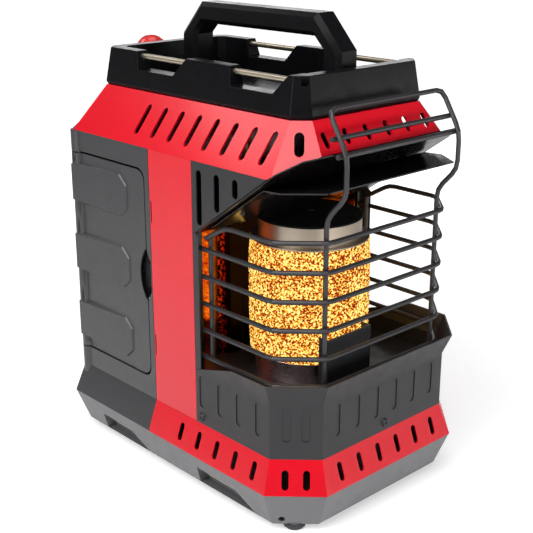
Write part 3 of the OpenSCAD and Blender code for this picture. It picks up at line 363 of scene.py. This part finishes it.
def paint(obj, slot):
    made = MIRROR_BLACK if obj.name.startswith(POLISHED) else FINISH[slot]
    obj.data.materials.clear()
    obj.data.materials.append(made.material)


# ---- pieces ---------------------------------------------------------------

BODY_OF = {n: o["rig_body"] for n, o in nodes.items()}
SHARP = math.radians(32)
FLAT = math.radians(0.6)
WELD = 0.002 * MM
BEVEL_SEGMENTS = 2
SHORTEST_EDGE = 2.6  # in bevel widths; shorter edges stay sharp
# how far a bevelled copy may lie from its solid
VOLUME_DRIFT = 0.04
STRAY = 1.2  # in bevel widths
TURNED = -0.2  # cosine between a face and the solid's face next to it
TINY_FACE = 0.04 * MM * MM


def add_piece(name, mesh, slot, body="body", stands_for=()):
    obj = bpy.data.objects.new(name, mesh)
    bpy.context.scene.collection.objects.link(obj)
    paint(obj, slot)
    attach(obj, body)
    if stands_for:
        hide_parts(*stands_for)
    return obj


def rounded_copy(source, width, clamp):
    """A bmesh of the CAD mesh with its sharp edges bevelled."""
    bm = bmesh.new()
    bm.from_mesh(source)
    bmesh.ops.remove_doubles(bm, verts=bm.verts, dist=WELD)
    bmesh.ops.dissolve_limit(bm, angle_limit=FLAT, verts=bm.verts, edges=bm.edges)
    bm.normal_update()
    sharp = [
        e for e in bm.edges
        if len(e.link_faces) == 2 and e.calc_face_angle(0) > SHARP
        and e.calc_length() > SHORTEST_EDGE * width
    ]
    bmesh.ops.bevel(
        bm, geom=sharp, offset=width, offset_type="OFFSET", segments=BEVEL_SEGMENTS,
        profile=0.5, affect="EDGES", clamp_overlap=clamp,
    )
    bm.normal_update()
    return bm


def stays_close(bm, source, width):
    """True where every bevelled face lies along the solid that it came from."""
    plain = bmesh.new()
    plain.from_mesh(source)
    volume = plain.calc_volume()
    tree = BVHTree.FromBMesh(plain)
    plain.free()
    probe = bm.copy()
    bmesh.ops.triangulate(probe, faces=probe.faces, ngon_method="EAR_CLIP")
    probe.normal_update()
    good = abs(probe.calc_volume() - volume) < VOLUME_DRIFT * abs(volume)
    for face in probe.faces:
        if not good:
            break
        if face.calc_area() < TINY_FACE:
            continue
        near, normal, _, distance = tree.find_nearest(face.calc_center_median())
        good = (near is not None and distance < STRAY * width
                and normal.dot(face.normal) > TURNED)
    probe.free()
    return good


def add_rounded(node, width):
    """The CAD node's shape with its edges rounded by a real bevel, narrower if need be.

    Where no bevel fits, the CAD mesh stays as it is.
    """
    source = nodes[node].data
    for share in (1, 0.6, 0.35):
        for clamp in (False, True):
            bm = rounded_copy(source, width * share, clamp)
            if stays_close(bm, source, width):
                mesh = bpy.data.meshes.new(node + "_skin")
                bm.to_mesh(mesh)
                bm.free()
                mesh.shade_smooth()
                mesh.set_sharp_from_angle(angle=SHARP)
                skin = add_piece(node + "_skin", mesh, SLOT_OF[node], BODY_OF[node], [node])
                # large faces keep their normal, and only the bevels are shaded round
                skin.modifiers.new("weighted", "WEIGHTED_NORMAL").keep_sharp = True
                return
            bm.free()


def circle(centre, radius, z, columns):
    """Points round an upright axis, with the direction of each."""
    for j in range(columns):
        a = 2 * math.pi * j / columns
        out = Vector((math.cos(a), math.sin(a), 0))
        yield centre + out * radius + Vector((0, 0, z)), out


def woven_mesh():
    """The burner's wire mesh as a crumpled sleeve inside the CAD tube's box."""
    lo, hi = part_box("burner_mesh")
    radius = (hi[0] - lo[0]) / 2
    centre = Vector(((lo[0] + hi[0]) / 2, (lo[1] + hi[1]) / 2, 0))
    rows, columns, wall = 110, 300, 2 * MM
    crumple_scale, crumple_depth, crumple_mean = 480, 1.6 * MM, 0.55
    verts, faces = [], []
    for i in range(rows + 1):
        z = lo[2] + (hi[2] - lo[2]) * i / rows
        # the rims are crumpled less
        share = min(1, 4 * min(i, rows - i) / rows + 0.3)
        for point, out in circle(centre, radius, z, columns):
            dent = noise.noise(point * crumple_scale) - crumple_mean
            verts.append(point - out * dent * crumple_depth * share)
    for i in range(rows):
        for j in range(columns):
            k = (j + 1) % columns
            faces.append((i * columns + j, i * columns + k,
                          (i + 1) * columns + k, (i + 1) * columns + j))
    inner, top = len(verts), rows * columns
    for z in (lo[2], hi[2]):
        verts += [point for point, _ in circle(centre, radius - wall, z, columns)]
    for j in range(columns):
        k = (j + 1) % columns
        faces.append((inner + k, inner + j, inner + columns + j, inner + columns + k))
        faces.append((j, inner + j, inner + k, k))
        faces.append((top + k, inner + columns + k, inner + columns + j, top + j))
    mesh = bpy.data.meshes.new("woven_mesh")
    mesh.from_pydata([v[:] for v in verts], [], faces)
    mesh.validate()
    mesh.shade_smooth()
    add_piece("woven_mesh", mesh, "glowing_mesh", stands_for=["burner_mesh"])


# bevel widths in millimetres
SOFT_EDGES = {
    "base_tray": 1.0, "rubber_feet": 0.8, "cylinder_cradle": 0.5,
    "front_skirt": 0.35, "rear_skirt": 0.6, "rear_housing": 0.4, "tank_door": 0.4,
    "side_panel_left": 0.35, "side_panel_right": 0.35, "cheek_left": 0.35,
    "cheek_right": 0.35, "front_shroud": 0.45, "hood": 0.45, "top_tray": 1.1,
    "handle_left": 0.9, "handle_right": 0.9, "control_console": 0.7,
    "control_knob": 0.5, "igniter_button": 0.4, "door_latch": 0.4, "latch_cup": 0.3,
    "upper_reflector": 0.3, "lower_reflector": 0.3, "burner_pan": 0.3,
    "rear_reflector": 0.25, "partition": 0.3, "burner_plenum": 0.5,
    "burner_ring": 0.25, "burner_cap": 0.6, "guard_clips": 0.4, "swivel_block": 0.4,
    "regulator": 0.6, "gas_valve": 0.4, "igniter_body": 0.4, "tip_switch": 0.5,
    "pilot_bracket": 0.3,
}


# ---- floor and light ------------------------------------------------------

FLOOR_HALF = 14
# the glow that keeps the floor white: from this far to this far out, and how much
FLOOR_LIFT = (0.3, 1.3, 0.42, 0.95)
MIRRORED_LIFT = 0.2
CEILING = 0.12
HORIZON = (0.0, 0.04)


def background_lift(s, seen):
    """The floor's own glow: `seen` for the camera, less where metal or glass mirrors it."""
    path = s.node("ShaderNodeLightPath").outputs
    mirrored = s.math("MAXIMUM", path["Is Glossy Ray"], path["Is Transmission Ray"])
    dimmed = s.math("MULTIPLY", mirrored, MIRRORED_LIFT)
    return s.math("MULTIPLY_ADD", path["Is Camera Ray"], seen, dimmed)


def add_floor():
    mesh = bpy.data.meshes.new("floor")
    r = FLOOR_HALF
    mesh.from_pydata(
        [(-r, -r, 0), (r, -r, 0), (r, r, 0), (-r, r, 0)], [], [(0, 1, 2, 3)]
    )
    floor = bpy.data.objects.new("floor", mesh)
    bpy.context.scene.collection.objects.link(floor)
    s = Shader("floor")
    s.principled(Roughness=0.9, Specular_IOR_Level=0.1, Emission_Color=(1, 1, 1, 1))
    s.link(s.ramp(s.noise(3, 2), (NOISE_LOW, 0.90), (NOISE_HIGH, 0.92)),
           s.bsdf.inputs["Base Color"])
    fade = s.remap(s.length(s.coords), *FLOOR_LIFT)
    s.link(background_lift(s, fade), s.bsdf.inputs["Emission Strength"])
    mesh.materials.append(s.material)


def add_softbox(name, azimuth, elevation, distance, size, power, aim=(0, 0, 0.2)):
    """A rectangular lamp, with its angles in degrees, lengths in metres, power in watts."""
    data = bpy.data.lights.new(name, "AREA")
    data.shape = "RECTANGLE"
    data.size, data.size_y = size
    data.energy = power
    lamp = bpy.data.objects.new(name, data)
    bpy.context.scene.collection.objects.link(lamp)
    a, e = math.radians(azimuth), math.radians(elevation)
    out = Vector((
        math.sin(a) * math.cos(e), -math.cos(a) * math.cos(e), math.sin(e)
    ))
    lamp.location = Vector(aim) + out * distance
    lamp.rotation_mode = "QUATERNION"
    lamp.rotation_quaternion = out.to_track_quat("Z", "Y")


def set_world():
    """White surround up to a little over the floor, and a dimmer ceiling above it."""
    world = bpy.data.worlds.new("studio")
    bpy.context.scene.world = world
    world.use_nodes = True
    tree = world.node_tree
    tree.nodes.clear()
    coords = tree.nodes.new("ShaderNodeTexCoord")
    split = tree.nodes.new("ShaderNodeSeparateXYZ")
    tree.links.new(coords.outputs["Generated"], split.inputs[0])
    ceiling = tree.nodes.new("ShaderNodeMapRange")
    for name, value in zip(("From Min", "From Max", "To Min", "To Max"),
                           (*HORIZON, 1.0, CEILING)):
        ceiling.inputs[name].default_value = value
    tree.links.new(split.outputs["Z"], ceiling.inputs["Value"])
    path = tree.nodes.new("ShaderNodeLightPath")
    strength = tree.nodes.new("ShaderNodeMath")
    strength.operation = "MAXIMUM"
    tree.links.new(ceiling.outputs["Result"], strength.inputs[0])
    tree.links.new(path.outputs["Is Camera Ray"], strength.inputs[1])
    sky = tree.nodes.new("ShaderNodeBackground")
    sky.inputs["Color"].default_value = (1, 1, 1, 1)
    tree.links.new(strength.outputs[0], sky.inputs["Strength"])
    out = tree.nodes.new("ShaderNodeOutputWorld")
    tree.links.new(sky.outputs[0], out.inputs["Surface"])


# ---- scene ----------------------------------------------------------------

add_camera()
for node, width in SOFT_EDGES.items():
    add_rounded(node, width * MM)
woven_mesh()

for node, obj in nodes.items():
    if not obj.hide_render:
        paint(obj, SLOT_OF[node])

add_floor()
set_world()
add_softbox("key", -50, 55, 1.3, (1.0, 0.7), 10)
add_softbox("left", -86, 26, 1.5, (0.7, 1.1), 14)
add_softbox("rear_left", -157, 45, 1.6, (0.6, 0.35), 2.2)
add_softbox("front", 0, 8, 1.6, (0.7, 0.4), 9)
add_softbox("fill_right", 41, 11.5, 1.55, (0.9, 0.3), 3, aim=(0, 0, 0.05))
add_softbox("top", 150, 78, 1.6, (0.8, 0.8), 3)
add_softbox("back", 137, 20, 1.6, (0.8, 0.4), 2.6)
bpy.context.scene.view_settings.view_transform = "Standard"
